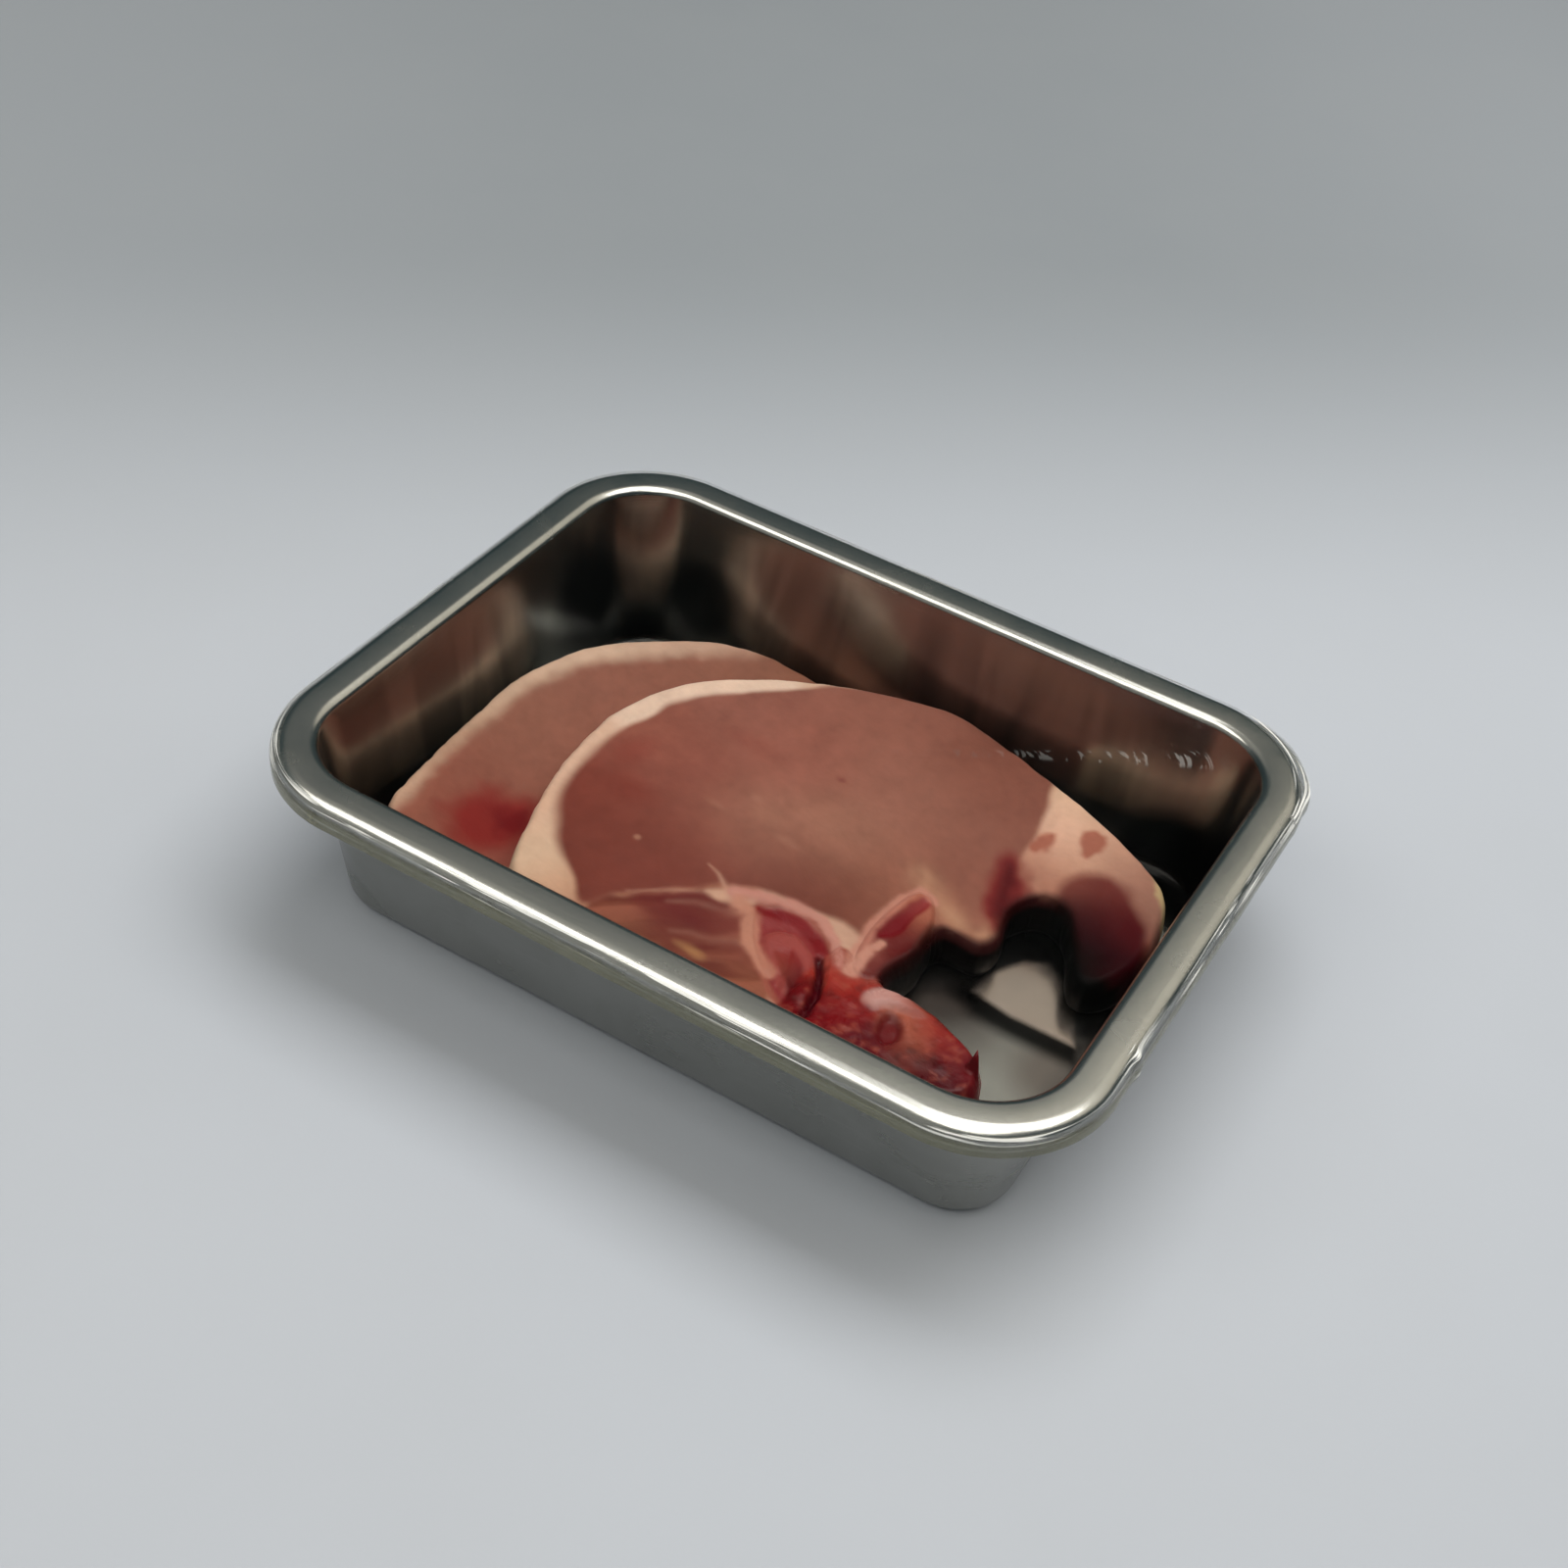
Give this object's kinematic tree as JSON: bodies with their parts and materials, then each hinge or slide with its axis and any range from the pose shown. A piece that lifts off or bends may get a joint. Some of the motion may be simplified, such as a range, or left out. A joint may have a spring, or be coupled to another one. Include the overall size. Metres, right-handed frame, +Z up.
{
  "type": "meat tray pack",
  "caption": "Shallow steel tray with a wide rolled rim, holding thin bone-in pork loin chops under a clear stretch film pulled over the rim.",
  "frame": {"origin": "centre of the tray's flat underside", "axes": "+X along the tray's long side, +Y across it, +Z up through the open top"},
  "size_m": [0.1812, 0.1412, 0.0406],
  "materials": {
    "steel": "bright drawn stainless steel, lightly scuffed",
    "film": "clear stretch film, pulled tight",
    "lean": "moist raw pork loin",
    "flank": "moist raw pork, darker, streaked with fat",
    "fat": "soft raw pork fat",
    "bone": "sawn bone with wet red marrow"
  },
  "bodies": {
    "root": {"tray": "steel", "film": "film", "front_loin": "lean", "front_flank": "flank", "front_fat_cap": "fat", "front_tail": "fat", "front_rib_bone": "bone", "front_arch_bone": "bone", "front_vertebra": "bone", "back_loin": "lean", "back_fat_cap": "fat"}
  },
  "joints": []
}
